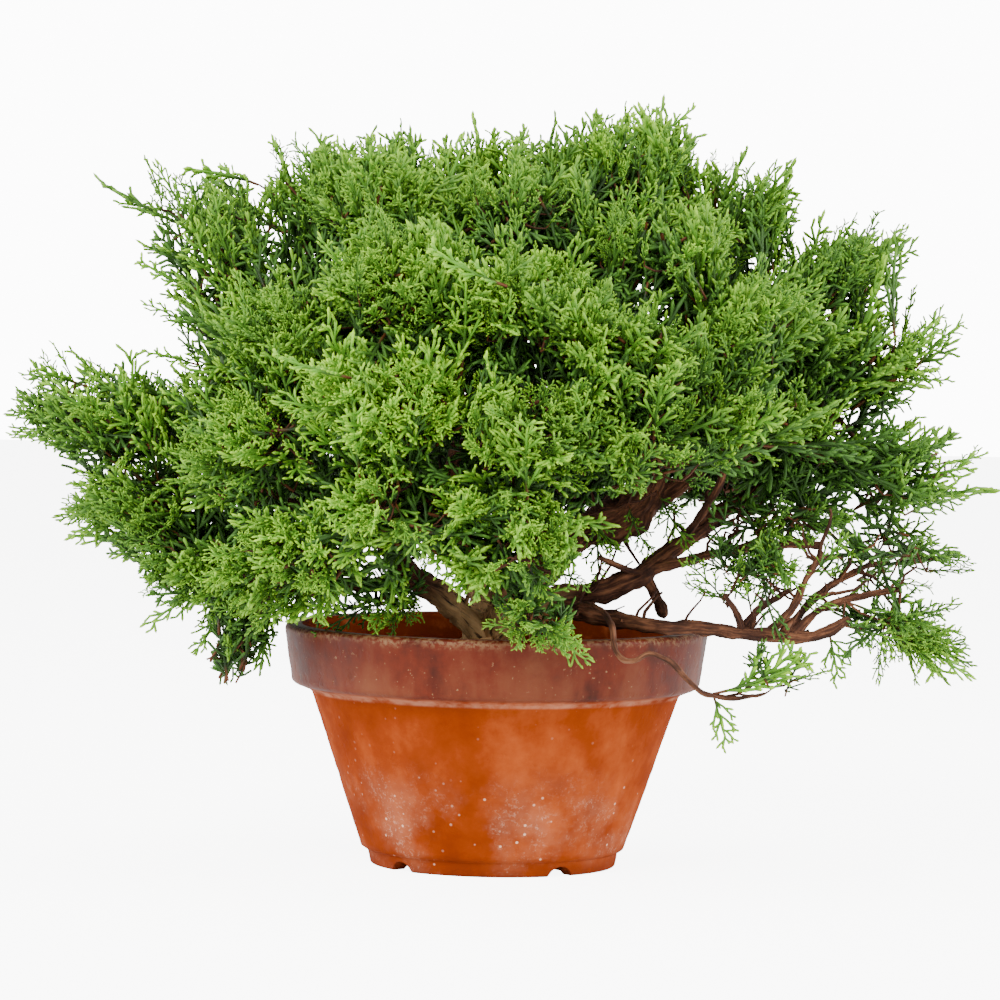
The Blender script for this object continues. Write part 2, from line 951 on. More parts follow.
@dataclass
class ScatterTree:
    """A Geometry Nodes tree that puts chosen shapes on points and makes them real."""

    name: str
    map_name: str | None = None

    def build(self) -> bpy.types.NodeTree:
        """Builds the tree.

        Returns:
            A tree with the inputs Points, Shapes and Finish, whose points carry the
            attributes kind, turn, size and light.
        """
        tree = bpy.data.node_groups.new(self.name, "GeometryNodeTree")
        for name, way, kind in (
            ("Points", "INPUT", "Geometry"),
            ("Shapes", "INPUT", "Collection"),
            ("Finish", "INPUT", "Material"),
            ("Geometry", "OUTPUT", "Geometry"),
        ):
            tree.interface.new_socket(name, in_out=way, socket_type="NodeSocket" + kind)
        add, join = tree.nodes.new, tree.links.new
        start, end = add("NodeGroupInput"), add("NodeGroupOutput")
        shapes = add("GeometryNodeCollectionInfo")
        shapes.inputs["Separate Children"].default_value = True
        shapes.inputs["Reset Children"].default_value = True
        join(start.outputs["Shapes"], shapes.inputs["Collection"])
        put = add("GeometryNodeInstanceOnPoints")
        put.inputs["Pick Instance"].default_value = True
        join(start.outputs["Points"], put.inputs["Points"])
        join(shapes.outputs["Instances"], put.inputs["Instance"])
        for attribute, kind, socket in (
            ("kind", "INT", "Instance Index"),
            ("turn", "FLOAT_VECTOR", "Rotation"),
            ("size", "FLOAT", "Scale"),
        ):
            join(self.read(tree, attribute, kind), put.inputs[socket])
        real = add("GeometryNodeRealizeInstances")
        join(put.outputs["Instances"], real.inputs["Geometry"])
        last = real.outputs["Geometry"]
        if self.map_name:
            both = add("ShaderNodeCombineXYZ")
            join(self.read(tree, "along", "FLOAT"), both.inputs["X"])
            join(self.read(tree, "light", "FLOAT"), both.inputs["Y"])
            store = add("GeometryNodeStoreNamedAttribute")
            store.data_type = "FLOAT2"
            store.domain = "CORNER"
            store.inputs["Name"].default_value = self.map_name
            join(last, store.inputs["Geometry"])
            join(both.outputs["Vector"], store.inputs["Value"])
            last = store.outputs["Geometry"]
        wear = add("GeometryNodeSetMaterial")
        join(last, wear.inputs["Geometry"])
        join(start.outputs["Finish"], wear.inputs["Material"])
        join(wear.outputs["Geometry"], end.inputs["Geometry"])
        return tree

    @staticmethod
    def read(tree: bpy.types.NodeTree, attribute: str, kind: str) -> Socket:
        """Reads a named attribute.

        Args:
            tree: the tree that gets the node for it.
            attribute: the attribute's name.
            kind: its data type.

        Returns:
            Its values.
        """
        node = tree.nodes.new("GeometryNodeInputNamedAttribute")
        node.data_type = kind
        node.inputs["Name"].default_value = attribute
        return node.outputs["Attribute"]


@dataclass(frozen=True)
class Spot:
    """Where a scattered shape goes, how it is turned and sized, and how much light it gets."""

    place: Vector
    turn: Matrix
    size: float
    kind: int
    light: float


def scattered(
    name: str,
    spots: list[Spot],
    shapes: bpy.types.Collection,
    finish: bpy.types.Material,
    tree: bpy.types.NodeTree,
) -> bpy.types.Mesh:
    """Scatters shapes on spots through a node tree.

    Args:
        name: the new mesh's name.
        spots: where the shapes go.
        shapes: the collection that holds them, picked by the order of their names.
        finish: the material that they wear.
        tree: the tree that a ScatterTree built.

    Returns:
        A plain mesh with no modifier left on it.
    """
    mesh = bpy.data.meshes.new(name + "_points")
    mesh.from_pydata([tuple(spot.place) for spot in spots], [], [])
    for attribute, kind, values in (
        ("kind", "INT", [spot.kind for spot in spots]),
        ("size", "FLOAT", [spot.size for spot in spots]),
        ("light", "FLOAT", [spot.light for spot in spots]),
    ):
        mesh.attributes.new(attribute, kind, "POINT").data.foreach_set("value", values)
    turns = [angle for spot in spots for angle in spot.turn.to_euler()]
    mesh.attributes.new("turn", "FLOAT_VECTOR", "POINT").data.foreach_set("vector", turns)
    carrier = place_object(name + "_points", mesh)
    scatter = carrier.modifiers.new("Scatter", "NODES")
    scatter.node_group = tree
    for item in tree.interface.items_tree:
        if item.item_type == "SOCKET" and item.in_out == "INPUT" and item.name != "Points":
            scatter[item.identifier] = shapes if item.name == "Shapes" else finish
    made = applied(carrier)
    made.name = name
    bpy.data.objects.remove(carrier)
    for attribute in ("kind", "size", "light", "turn", "along"):
        if attribute in made.attributes:
            made.attributes.remove(made.attributes[attribute])
    return made


# --------------------------------------------------------------------------------------
# The soil
# --------------------------------------------------------------------------------------


@dataclass
class Soil:
    """The soil: a turned body under a layer of loose granules."""

    edge: float = 102 * MM
    heap: float = 3 * MM
    radius: float = 94.7 * MM
    floor: float = 10.9 * MM
    low_radius: float = 58 * MM
    corner: float = 6 * MM
    segments: int = 96
    rings: int = 30
    granules: int = 2300
    granule_kinds: int = 5
    granule_sizes: tuple[float, ...] = (0.8, 1.0, 1.2, 1.5, 1.9)
    seed: int = 5

    def top(self, r: float, angle: float = 0.0) -> float:
        """Tells how high the soil's surface is.

        Args:
            r: the distance from the axis.
            angle: the angle round it.

        Returns:
            The height in metres.
        """
        share = min(1.0, r / self.radius)
        spot = Vector(polar(r, angle, 0))
        return self.edge + self.heap * (1 - share**1.6) + noise.noise(spot * 60) * 0.8 * MM

    def body(self) -> bpy.types.Mesh:
        """Turns the soil's body.

        Returns:
            A mesh that is closed all round.
        """
        shape = Shape()
        outline = [(self.radius * k / self.rings, None) for k in range(1, self.rings + 1)]
        outline += [(self.radius, 99 * MM), (83.2 * MM, 85.6 * MM)]
        outline += [(self.low_radius + 0.6 * MM, self.floor + self.corner)]
        outline += [(self.low_radius - 0.3 * self.corner, self.floor + 0.3 * self.corner)]
        outline += [(self.low_radius - self.corner, self.floor), (20 * MM, self.floor)]
        for k in range(self.segments):
            angle = math.tau * k / self.segments
            for r, z in outline:
                height = self.top(r, angle) - 0.4 * MM if z is None else z
                shape.add(polar(r, angle, height))
        count = len(outline)
        for k in range(self.segments):
            for i in range(count - 1):
                a = k * count + i
                d = ((k + 1) % self.segments) * count + i
                shape.faces.append((a + 1, a, d, d + 1))
        top, bottom = shape.add((0, 0, self.top(0))), shape.add((0, 0, self.floor))
        for k in range(self.segments):
            a, d = k * count, ((k + 1) % self.segments) * count
            shape.faces += [(top, a, d), (bottom, d + count - 1, a + count - 1)]
        return shape.to_mesh("soil_body")

    def granule_shapes(self) -> bpy.types.Collection:
        """Makes a few lumpy granules to scatter.

        Returns:
            The collection that holds them.
        """
        made = bpy.data.collections.new("granules")
        pick = random.Random(self.seed)
        for k in range(self.granule_kinds):
            shape = bmesh.new()
            bmesh.ops.create_icosphere(shape, subdivisions=1, radius=1)
            for vert in shape.verts:
                vert.co *= pick.uniform(0.78, 1.12)
                vert.co.z *= 0.8
            name = f"granule_{k}"
            made.objects.link(bpy.data.objects.new(name, made_of(shape, name)))
        return made

    def build(self, finish: bpy.types.Material) -> bpy.types.Object:
        """Builds the soil's piece: its body with granules strewn over the top.

        Args:
            finish: the soil material.

        Returns:
            The finished piece.
        """
        pick = random.Random(self.seed)
        spots = []
        for _ in range(self.granules):
            r = (self.radius - 1.6 * MM) * math.sqrt(pick.random())
            angle = pick.uniform(0, math.tau)
            size = pick.choice(self.granule_sizes) * MM
            place = Vector(polar(r, angle, self.top(r, angle)))
            place.z += pick.uniform(-0.4, 0.35) * size
            turn = Euler([pick.uniform(0, math.tau) for _ in range(3)]).to_matrix()
            spots.append(Spot(place, turn, size, pick.randrange(self.granule_kinds), 0.0))
        tree = ScatterTree("strew granules").build()
        grains = scattered("granules_strewn", spots, self.granule_shapes(), finish, tree)
        both = bmesh.new()
        both.from_mesh(self.body())
        both.from_mesh(grains)
        mesh = made_of(both, "soil_surface")
        mesh.materials.clear()
        mesh.materials.append(finish)
        for polygon in mesh.polygons:
            polygon.material_index = 0
        return hand_over(place_object("granular_soil", mesh), "soil")


# --------------------------------------------------------------------------------------
# The wood
# --------------------------------------------------------------------------------------

# Every limb of the CAD tree as points of (x, y, z, radius) in millimetres.
LIMBS: dict[str, tuple[LimbPoint, ...]] = {
    "trunk": (
        (-4, 2, 70, 11), (-4, 1, 92, 15), (-4, 0, 102, 19), (-3, -1, 112, 14), (2, -1, 124, 11),
        (10, 2, 136, 9.5), (23, 4, 150, 8.5), (42, 5, 165, 8.5), (62, 1, 175, 11),
        (74, 0, 188, 8.5), (76, 2, 206, 6.5), (66, 5, 232, 5.5), (52, 4, 262, 4.4),
        (42, 2, 290, 3.4), (44, 2, 316, 2.4),
    ),
    "left_limb": (
        (-2, -3, 112, 8), (-14, -13, 124, 6.6), (-32, -24, 137, 5.8), (-47, -32, 149, 5.2),
        (-53, -37, 164, 4.8), (-50, -34, 186, 4.4), (-49, -29, 210, 4), (-55, -25, 238, 3.6),
        (-63, -24, 268, 3), (-60, -18, 300, 2.2),
    ),
    "left_low_limb": (
        (-40, -29, 144, 4), (-58, -44, 141, 3.6), (-76, -53, 141, 3.2), (-94, -59, 138, 2.8),
        (-110, -58, 141, 2.4), (-124, -50, 148, 2),
    ),
    "far_left_limb": (
        (-51, -36, 160, 4.2), (-66, -30, 166, 3.8), (-88, -22, 172, 3.4), (-112, -16, 181, 3),
        (-138, -10, 195, 2.6), (-160, -6, 212, 2.2),
    ),
    "right_limb": (
        (-2, -4, 110, 8), (10, -13, 122, 6.8), (24, -21, 132, 6), (38, -25, 137, 5.6),
        (54, -25, 139, 5.4), (70, -21, 146, 5), (86, -15, 158, 4.6), (102, -8, 171, 4.2),
        (118, 0, 181, 3.8), (134, 9, 192, 3.3), (150, 14, 206, 2.8), (168, 16, 226, 2.2),
    ),
    "right_fork": (
        (74, -20, 148, 3.2), (92, -25, 154, 2.8), (110, -28, 159, 2.5), (132, -30, 163, 2.2),
        (158, -22, 163, 1.9),
    ),
    "cut_stub": (
        (72, -19, 146, 2.8), (76, -21, 141, 2.2), (79, -23, 136, 2.4), (81, -24, 131, 3.6),
        (82, -24.5, 127, 2.4),
    ),
    "crossing_twig": (
        (50, -34, 156, 1.2), (60, -31, 151, 1.4), (72, -24, 147, 1.6),
    ),
    "low_right_branch": (
        (18, -19, 128, 4.4), (32, -34, 130, 4.2), (48, -48, 127, 4), (66, -57, 125.5, 3.8),
        (84, -62, 124, 3.6), (106, -64, 123, 3.4), (128, -63, 121, 3.2), (146, -61, 119.5, 3),
        (160, -58, 122, 2.6), (172, -54, 128, 2),
    ),
    "upturned_twig_a": (
        (118, -64, 124, 1.8), (115, -66, 132, 1.5), (110, -67, 140, 1.2),
    ),
    "upturned_twig_b": (
        (118, -63, 123, 1.8), (129, -56, 133, 1.6), (144, -48, 142, 1.2),
    ),
    "upturned_twig_c": (
        (133, -62, 121, 2.2), (144, -58, 136, 1.9), (152, -52, 149, 1.6), (158, -45, 160, 1.3),
    ),
    "upturned_twig_d": (
        (144, -61, 120, 2.4), (156, -51, 132, 2.1), (172, -43, 138, 1.8), (198, -34, 143, 1.4),
    ),
    "upturned_twig_e": (
        (140, -61, 121, 2.4), (153, -44, 137, 2), (170, -28, 147, 1.7), (186, -16, 154, 1.4),
    ),
    "hanging_twig": (
        (30, -33, 129.5, 1.7), (38, -62, 133, 1.5), (48, -84, 134, 1.4), (54, -99, 128, 1.4),
        (56, -108, 118, 1.4), (60, -112, 111, 1.4), (66, -114, 111, 1.3), (72, -114, 114, 1.3),
        (82, -114, 111, 1.2), (92, -111, 103, 1.2), (100, -108, 96, 1.1), (112, -102, 93, 1.1),
        (124, -99, 94, 1),
    ),
    "front_limb": (
        (-2, -6, 114, 5.4), (-1, -24, 128, 4.6), (2, -46, 142, 4), (4, -70, 154, 3.4),
        (2, -92, 168, 2.9), (0, -104, 190, 2.4),
    ),
    "back_limb": (
        (-2, 2, 114, 6.4), (-8, 18, 130, 5.6), (-18, 40, 150, 5), (-26, 62, 172, 4.4),
        (-24, 84, 196, 3.8), (-14, 98, 222, 3.2), (-6, 100, 250, 2.6),
    ),
    "back_left_limb": (
        (-20, 44, 153, 4), (-42, 62, 162, 3.5), (-66, 76, 172, 3.1), (-90, 84, 184, 2.7),
        (-112, 82, 200, 2.3),
    ),
    "back_right_limb": (
        (44, 6, 166, 5.2), (58, 30, 172, 4.6), (74, 54, 180, 4), (90, 76, 188, 3.4),
        (108, 88, 200, 2.7),
    ),
    "upper_right_limb": (
        (72, 0, 180, 4.8), (90, 3, 190, 4.2), (106, 4, 208, 3.7), (116, 4, 232, 3.2),
        (124, 4, 256, 2.8), (132, 4, 276, 2.4),
    ),
    "upper_left_limb": (
        (-50, -28, 214, 3.6), (-68, -20, 230, 3.2), (-90, -12, 246, 2.9), (-110, -6, 264, 2.6),
        (-124, -4, 284, 2.2),
    ),
    "curving_shoot": (
        (90, -14, 162, 2.2), (98, -26, 174, 2), (107, -38, 190, 1.9), (112, -48, 206, 1.7),
        (114, -56, 220, 1.4),
    ),
}


# How many dead twigs the limbs keep that show under the crown.
BARE_TWIGS: dict[str, int] = {
    "trunk": 34, "left_limb": 14, "left_low_limb": 14, "far_left_limb": 8, "right_limb": 26,
    "right_fork": 8, "low_right_branch": 16, "curving_shoot": 6, "front_limb": 16,
    "back_limb": 10, "upturned_twig_c": 4, "upturned_twig_d": 4, "upturned_twig_e": 4,
}


@dataclass(frozen=True)
class Bark:
    """How rough a stem's surface is: fibrous ridges along it, knobs and a flared foot."""

    ridges: float = 0.22
    ridge_turns: float = 2.6
    ridge_stretch: float = 90.0
    knobs: float = 0.40
    knob_scale: float = 95.0
    collar: float = 0.30

    def offset(self, spot: Vector, angle: float, s: float, radius: float) -> float:
        """How far the bark stands proud at one place.

        Args:
            spot: the place itself, in metres.
            angle: the angle round the stem.
            s: the distance along the stem, in metres.
            radius: the stem's radius there.

        Returns:
            The offset in metres.
        """
        round_place = Vector((math.cos(angle), math.sin(angle), 0)) * self.ridge_turns
        round_place.z = s * self.ridge_stretch
        ridge = 0.5 - abs(noise.noise(round_place)) * 2
        fibre = noise.noise(round_place * 3.1)
        knob = noise.noise(spot * self.knob_scale) + 0.5 * noise.noise(spot * 2.4 * self.knob_scale)
        rough = self.ridges * ridge + 0.4 * self.ridges * fibre + self.knobs * knob
        return radius * rough


@dataclass
class Wood:
    """The trunk, its limbs and every twig, collected as tubes of bark."""

    bark: Bark = Bark()
    shape: Shape = field(default_factory=Shape)
    thick_sides: int = 12
    step: float = 1.7 * MM
    thin_step: float = 5.0 * MM
    thin_sides: int = 7
    thin: float = 1.2 * MM
    stout: float = 4.5 * MM
    stout_sides: int = 26
    wander: float = 1.5 * MM
    bare_points: int = 5
    bare_clearance: float = 150 * MM

    def limb(self, points: tuple[LimbPoint, ...]) -> None:
        """Adds a limb.

        Args:
            points: the points that it passes through, each as (x, y, z, radius) in mm.
        """
        spots = [Vector(point[:3]) * MM for point in points]
        radii = [point[3] * MM for point in points]
        thick = max(radii) > self.thin
        walk = along_spline(spots, self.step if thick else self.thin_step * 0.6)
        places = [spot + self.wandering(spot, max(radii)) for spot, _ in walk]
        widths = []
        for _, t in walk:
            i = min(int(t), len(radii) - 2)
            share = t - i
            share = share * share * (3 - 2 * share)
            widths.append(radii[i] + (radii[i + 1] - radii[i]) * share)
        sides = self.stout_sides if max(radii) > self.stout else self.thick_sides
        self.tube(places, widths, sides if thick else self.thin_sides, thick)

    def bare_twigs(self, points: tuple[LimbPoint, ...], count: int, pick: random.Random) -> None:
        """Adds short dead twigs that fork off a limb, as old junipers keep inside the crown.

        Args:
            points: the limb.
            count: how many twigs it gets.
            pick: the source of chance.
        """
        for _ in range(count):
            i = pick.randrange(1, len(points) - 1)
            here, there = Vector(points[i][:3]) * MM, Vector(points[i + 1][:3]) * MM
            root = here.lerp(there, pick.random())
            along = (there - here).normalized()
            way = strewn(pick, 1)
            way = (way - way.dot(along) * along).normalized() + along * pick.uniform(0.2, 0.9)
            if root.z < self.bare_clearance:
                way.z = abs(way.z)
            reach = pick.uniform(12, 32) * MM
            places = []
            for k in range(self.bare_points):
                bent = strewn(pick, 0.07) * reach
                places.append(root + way.normalized() * reach * k / 4 + bent * min(k, 1))
            thick = pick.uniform(0.8, 1.5) * MM
            widths = [thick * (1 - 0.14 * k) for k in range(self.bare_points)]
            self.tube(places, widths, 5, False)

    def wandering(self, spot: Vector, thickest: float) -> Vector:
        """Tells how far a stem strays from its smooth line. Slender stems stray more.

        Args:
            spot: the place on the line.
            thickest: the stem's greatest radius.

        Returns:
            The way from the line.
        """
        reach = self.wander * min(1.0, 3.4 * MM / thickest)
        slow = noise.noise_vector(spot * 55) * reach
        return slow + noise.noise_vector(spot * 160) * reach * 0.35

    def tube(self, places: list[Vector], widths: list[float], sides: int, rough: bool) -> None:
        """Adds one stem as a closed tube.

        Args:
            places: the middle line.
            widths: the radius at each place.
            sides: how many sides the tube has.
            rough: whether bark relief is modelled on it.
        """
        first = len(self.shape.points)
        s = 0.0
        for i, (spot, (way, left, up)) in enumerate(zip(places, frames_along(places))):
            s += (spot - places[i - 1]).length if i else 0.0
            radius = widths[i]
            if rough:
                radius *= 1 + self.bark.collar * math.exp(-s / (1.6 * widths[0]))
            for k in range(sides):
                angle = math.tau * k / sides
                out = left * math.cos(angle) + up * math.sin(angle)
                reach = radius
                if rough:
                    reach += self.bark.offset(spot + out * radius, angle, s, radius)
                self.shape.add(spot + out * reach, *polar(radius, angle, s))
        rings = len(places)
        for i in range(rings - 1):
            for k in range(sides):
                a = first + i * sides + k
                b = first + i * sides + (k + 1) % sides
                self.shape.faces.append((a, b, b + sides, a + sides))
        for ring, turn in ((0, -1), (rings - 1, 1)):
            base = first + ring * sides
            way = frames_along(places)[ring][0] * turn
            tip = places[ring] + way * widths[ring] * 0.7
            last = self.shape.add(tip, 0.0, 0.0, s if ring else 0.0)
            for k in range(sides):
                a, b = base + k, base + (k + 1) % sides
                self.shape.faces.append((a, b, last) if turn > 0 else (b, a, last))

    def build(self, finish: bpy.types.Material) -> bpy.types.Object:
        """Builds the wood's piece from everything that was added.

        Args:
            finish: the bark material.

        Returns:
            The finished piece.
        """
        mesh = self.shape.to_mesh("wood_surface", BarkFinish.grain)
        mesh.materials.append(finish)
        piece = place_object("trunk_limbs_and_twigs", mesh)
        return hand_over(piece, "trunk_and_branches")


# --------------------------------------------------------------------------------------
# The leaves
# --------------------------------------------------------------------------------------


class Habit(Enum):
    """The ways a juniper's sprays grow."""

    PLUME = "plume"
    TUFT = "tuft"
    LOOSE = "loose"
    WHIP = "whip"
    NEEDLED = "needled"
    SHADED = "shaded"


@dataclass(frozen=True)
class Growth:
    """The proportions of one habit, in millimetres and degrees."""

    length: float
    spacing: float
    side_length: float
    side_angle: float
    sub_length: float
    sub_spacing: float
    thick: float
    curl: float
    spread: float
    taper: float


GROWTHS: dict[Habit, Growth] = {
    Habit.PLUME: Growth(42, 4.3, 18, 36, 8.2, 3.7, 0.84, 24, 30, 0.85),
    Habit.TUFT: Growth(30, 3.8, 15, 35, 7.4, 3.5, 0.90, 16, 50, 0.7),
    Habit.LOOSE: Growth(44, 4.8, 17, 33, 8.2, 3.9, 0.80, 30, 26, 0.9),
    Habit.WHIP: Growth(36, 4.2, 8, 30, 5.4, 3.2, 0.90, 22, 45, 0.9),
    Habit.NEEDLED: Growth(36, 3.4, 12, 42, 5.2, 2.1, 0.60, 34, 70, 0.8),
    Habit.SHADED: Growth(34, 3.8, 17, 50, 9.0, 90.0, 0.95, 30, 80, 0.5),
}


@dataclass
class Spray:
    """One spray of shoots that grows from the origin along +Z, flat in its XZ plane."""

    habit: Habit
    seed: int
    fullest: float = 0.74
    shape: Shape = field(default_factory=Shape)

    def shoot(
        self, start: Vector, way: Vector, bend: Vector, length: float, thick: float,
        rings: int, base: float, tip: float,
    ) -> list[tuple[Vector, Vector]]:
        """Adds one shoot as a three-sided tapered stem with a blunt tip.

        Args:
            start: where it grows from.
            way: the direction in which it starts.
            bend: what is added to its direction from its start to its end.
            length: its length in metres.
            thick: its radius in metres.
            rings: how many rings of points it has.
            base: its place between shoot base and tip, on the leaf map, where it starts.
            tip: the same where it ends.

        Returns:
            Points along it, each with the direction there.
        """
        path = []
        spot = start.copy()
        blunt = min(0.34 / rings, 1.1 * thick / length)
        for i in range(rings + 1):
            now = (way + bend * (i / rings)).normalized()
            path.append((spot.copy(), now))
            last_part = i == rings - 1
            share = blunt if last_part else (1 - blunt) / (rings - 1)
            spot += now * length * share
        first = len(self.shape.points)
        side = path[0][1].orthogonal().normalized()
        for i, (place, now) in enumerate(path[:-1]):
            share = i / rings
            side = (side - now * side.dot(now)).normalized()
            other = now.cross(side)
            width = thick * (0.86 + 0.22 * math.sin(math.pi * min(1, share * 1.1)))
            for k in range(3):
                angle = math.tau * k / 3 + (math.pi / 3) * (i % 2)
                out = side * math.cos(angle) + other * math.sin(angle)
                self.shape.add(place + out * width, base + (tip - base) * share)
        # Every other ring is turned by half a side, and so the diagonals alternate.
        for i in range(rings - 1):
            for k in range(3):
                a, b = first + 3 * i + k, first + 3 * i + (k + 1) % 3
                across = (a + 3, b + 3)[i % 2]
                self.shape.faces.append((a, b, across))
                self.shape.faces.append((b, b + 3, across) if i % 2 == 0 else (a, across, a + 3))
        last = self.shape.add(path[-1][0], tip)
        ring = first + 3 * (rings - 1)
        for k in range(3):
            self.shape.faces.append((ring + k, ring + (k + 1) % 3, last))
        return path

    def bud(
        self, start: Vector, way: Vector, length: float, thick: float, base: float, tip: float
    ) -> None:
        """Adds one short blunt shoot, whose open foot sits inside the shoot that carries it.

        Args:
            start: where it grows from.
            way: the direction in which it grows.
            length: its length in metres.
            thick: its radius where it is fullest, in metres.
            base: its place on the leaf map at the foot.
            tip: the same at its end.
        """
        first = len(self.shape.points)
        side = way.orthogonal().normalized()
        other = way.cross(side)
        for share, width in ((0.0, 0.7), (self.fullest, 1.0)):
            for k in range(3):
                angle = math.tau * k / 3
                out = side * math.cos(angle) + other * math.sin(angle)
                place = start + way * length * share + out * thick * width
                self.shape.add(place, base + (tip - base) * share)
        self.shape.add(start + way * length, tip)
        for k in range(3):
            a, b = first + k, first + (k + 1) % 3
            self.shape.faces += [(a, b, b + 3), (a, b + 3, a + 3), (a + 3, b + 3, first + 6)]

    def build(self) -> bpy.types.Mesh:
        """Grows the spray.

        Returns:
            Its mesh, with the attribute along from 0 at a shoot's base to 1 at its tip.
        """
        g = GROWTHS[self.habit]
        pick = random.Random(self.seed)
        length = g.length * MM * pick.uniform(0.9, 1.1)
        lean = math.radians(g.curl) * pick.uniform(-1, 1)
        lift = math.radians(g.curl) * pick.uniform(-0.2, 1)
        bend = Vector((math.sin(lean), math.sin(lift), 0))
        axis = self.shoot(
            Vector(), Vector((0, 0, 1)), bend, length, g.thick * MM * 1.05, 6, 0.0, 0.95
        )
        s = 0.12 * length
        side = 1 if pick.random() < 0.5 else -1
        while s < 0.97 * length:
            share = s / length
            i = min(int(share * 6), 5)
            place = axis[i][0].lerp(axis[i + 1][0], share * 6 - i)
            way = axis[i][1]
            reach = g.side_length * MM * (1 - share) ** g.taper + 3.2 * MM
            reach *= pick.uniform(0.75, 1.12) * (0.55 + 0.45 * min(1, share / 0.22))
            self.side(g, pick, place, way, side, reach, share)
            side = -side
            s += g.spacing * MM * pick.uniform(0.75, 1.2)
        return self.shape.to_mesh(f"spray_{self.habit.value}_{self.seed}", "along")

    def side(
        self, g: Growth, pick: random.Random, place: Vector, way: Vector, side: int,
        reach: float, share: float,
    ) -> None:
        """Adds one side shoot with the small shoots that it carries.

        Args:
            g: the spray's proportions.
            pick: the source of chance.
            place: where it grows from.
            way: the direction of the main shoot there.
            side: 1 or -1, for the side to which it grows.
            reach: its length in metres.
            share: how far along the main shoot it is, from 0 to 1.
        """
        roll = math.radians(pick.uniform(-g.spread, g.spread))
        out = Vector((side * math.cos(roll), math.sin(roll), 0))
        out = (out - way * out.dot(way)).normalized()
        angle = math.radians(g.side_angle + pick.uniform(-7, 7))
        start = way * math.cos(angle) + out * math.sin(angle)
        bend = way * 0.55 + Vector((0, pick.uniform(-0.12, 0.2), 0))
        base = 0.30 + 0.25 * share
        path = self.shoot(place, start, bend, reach, g.thick * MM, 3, base, pick.uniform(0.86, 1))
        s = 1.6 * MM
        hand = 1 if pick.random() < 0.5 else -1
        while s < reach - 1.0 * MM:
            part = s / reach
            i = min(int(part * 3), 2)
            spot = path[i][0].lerp(path[i + 1][0], part * 3 - i)
            now = path[i][1]
            across = now.cross(Vector((0, 1, 0))).normalized() * hand
            across = (across + Vector((0, pick.uniform(-0.8, 0.8), 0))).normalized()
            turn = math.radians(34 + pick.uniform(-9, 9))
            aim = now * math.cos(turn) + across * math.sin(turn)
            far = g.sub_length * MM * (1 - 0.5 * part) * pick.uniform(0.7, 1.2)
            self.bud(spot, aim, far, g.thick * MM * 1.05, base + 0.15, pick.uniform(0.84, 1))
            hand = -hand
            s += g.sub_spacing * MM * pick.uniform(0.75, 1.25)


@dataclass(frozen=True)
class Clump:
    """One clump of leaves: its place in the crown, the limb that feeds it and how it looks.

    `light` shifts its leaves towards the fresh, sunlit greens. `full` scales how many sprays
    it has. `droop` bends them down. `habits` names the ways its sprays grow.
    """

    name: str
    limb: str
    light: float = 0.0
    full: float = 1.0
    droop: float = 0.0
    habits: tuple[Habit, ...] = (Habit.PLUME, Habit.TUFT, Habit.PLUME, Habit.NEEDLED)

    @property
    def node(self) -> str:
        """Names its CAD node.

        Returns:
            The node's name.
        """
        return "leaves_" + self.name


OPEN = (Habit.LOOSE, Habit.PLUME, Habit.LOOSE)
HANGING = (Habit.LOOSE, Habit.NEEDLED)

